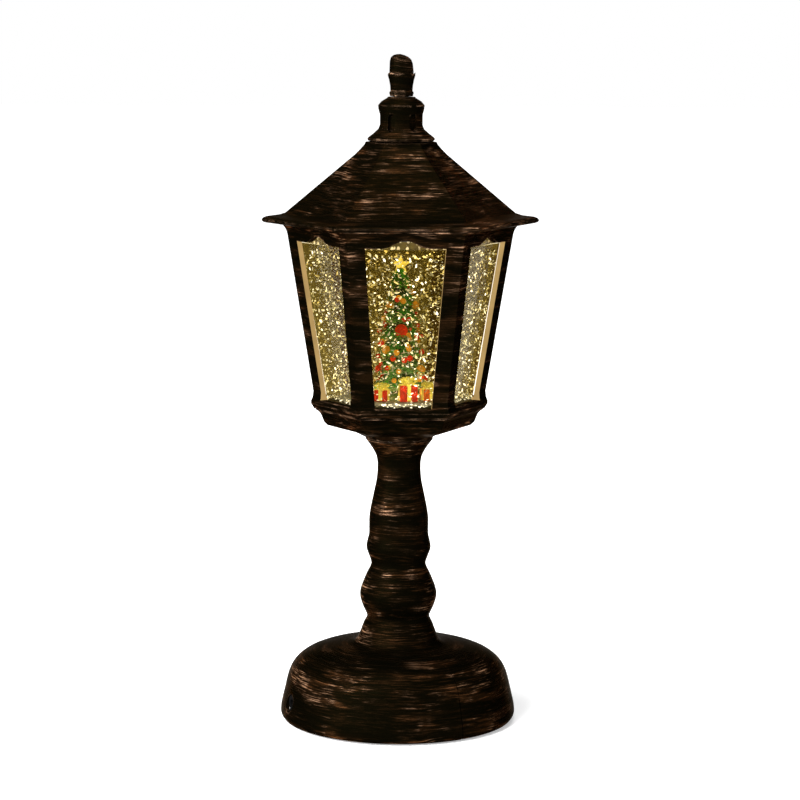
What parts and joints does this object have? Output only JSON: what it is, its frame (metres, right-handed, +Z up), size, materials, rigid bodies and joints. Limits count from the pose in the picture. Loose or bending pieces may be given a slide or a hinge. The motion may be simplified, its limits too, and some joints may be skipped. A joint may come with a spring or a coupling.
{
  "type": "water lantern",
  "caption": "Battery table lantern with a six-sided lit water tank, a stirred winter scene inside, a turned column and a domed foot.",
  "frame": {"origin": "on the surface the lantern stands on, under the middle of its foot", "axes": "+Z up along the column; a flat side of the six-sided head faces -Y, the viewer; a corner of the head points to +X"},
  "size_m": [0.1108, 0.096, 0.268],
  "materials": {
    "bronze_plastic": "near-black plastic, dry-brushed with copper bronze along the turning",
    "dark_plastic": "moulded, fine grain",
    "clear_acrylic": "clear, polished",
    "white_plastic": "moulded",
    "snow_plastic": "matt, snow texture",
    "tree_green": "painted",
    "trunk_brown": "painted",
    "star_yellow": "painted",
    "bauble_red": "painted",
    "bauble_gold": "painted",
    "gift_red": "painted",
    "gift_orange": "painted",
    "ribbon_yellow": "painted",
    "rubber": "matt",
    "steel": "zinc plated",
    "board_green": "solder mask",
    "cell_sleeve": "plain printed sleeve",
    "wire_black": "insulation",
    "magnet_grey": "nickel plated"
  },
  "bodies": {
    "lantern": {"base_plate": "dark_plastic", "base_screw_1": "steel", "base_screw_2": "steel", "base_screw_3": "steel", "base_screw_4": "steel", "battery_cell_1": "cell_sleeve", "battery_cell_2": "cell_sleeve", "battery_cell_3": "cell_sleeve", "bauble_1": "bauble_red", "bauble_2": "bauble_gold", "bauble_3": "bauble_gold", "bauble_4": "bauble_red", "bauble_5": "bauble_red", "bauble_6": "bauble_gold", "cell_spring_1": "steel", "cell_spring_2": "steel", "cell_spring_3": "steel", "contact_plate_front": "steel", "contact_plate_rear": "steel", "control_board": "board_green", "dc_jack": "dark_plastic", "fill_plug": "rubber", "finial": "bronze_plastic", "gift_box_1": "gift_red", "gift_box_2": "gift_red", "gift_box_3": "gift_orange", "gift_ribbon_1": "ribbon_yellow", "gift_ribbon_2": "ribbon_yellow", "gift_ribbon_3": "ribbon_yellow", "impeller_pin": "steel", "lantern_frame": "bronze_plastic", "led_board": "white_plastic", "lid_seal": "rubber", "lower_cup": "bronze_plastic", "motor": "steel", "motor_holder": "white_plastic", "post_shell_left": "bronze_plastic", "post_shell_right": "bronze_plastic", "roof": "bronze_plastic", "rubber_foot_1": "rubber", "rubber_foot_2": "rubber", "rubber_foot_3": "rubber", "rubber_foot_4": "rubber", "scene_plate": "snow_plastic", "snow_mound": "snow_plastic", "switch_body": "dark_plastic", "tank_lid": "white_plastic", "tree": "tree_green", "tree_star": "star_yellow", "tree_trunk": "trunk_brown", "vent_cap": "bronze_plastic", "water_tank": "clear_acrylic", "wire_harness": "wire_black"},
    "rotor": {"motor_rotor": "magnet_grey"},
    "stirrer": {"impeller": "white_plastic"},
    "slider": {"switch_slider": "dark_plastic"},
    "door": {"battery_door": "dark_plastic"}
  },
  "joints": [
    {"name": "rotor_spin", "type": "hinge", "parent": "lantern", "child": "rotor", "pos_m": [0, 0, 0.1206], "axis": [0, 0, 1], "continuous": true},
    {"name": "impeller_spin", "type": "hinge", "parent": "lantern", "child": "stirrer", "pos_m": [0, 0, 0.1257], "axis": [0, 0, 1], "continuous": true},
    {"name": "switch_slide", "type": "slide", "parent": "lantern", "child": "slider", "axis": [0, 1, 0], "range_m": [-0.002, 0.002]},
    {"name": "battery_door_hinge", "type": "hinge", "parent": "lantern", "child": "door", "pos_m": [0, 0.0272, 0.002], "axis": [1, 0, 0], "range_deg": [0, 80]}
  ],
  "couplings": [
    {"joint": "impeller_spin", "follows": "rotor_spin", "ratio": 1}
  ]
}
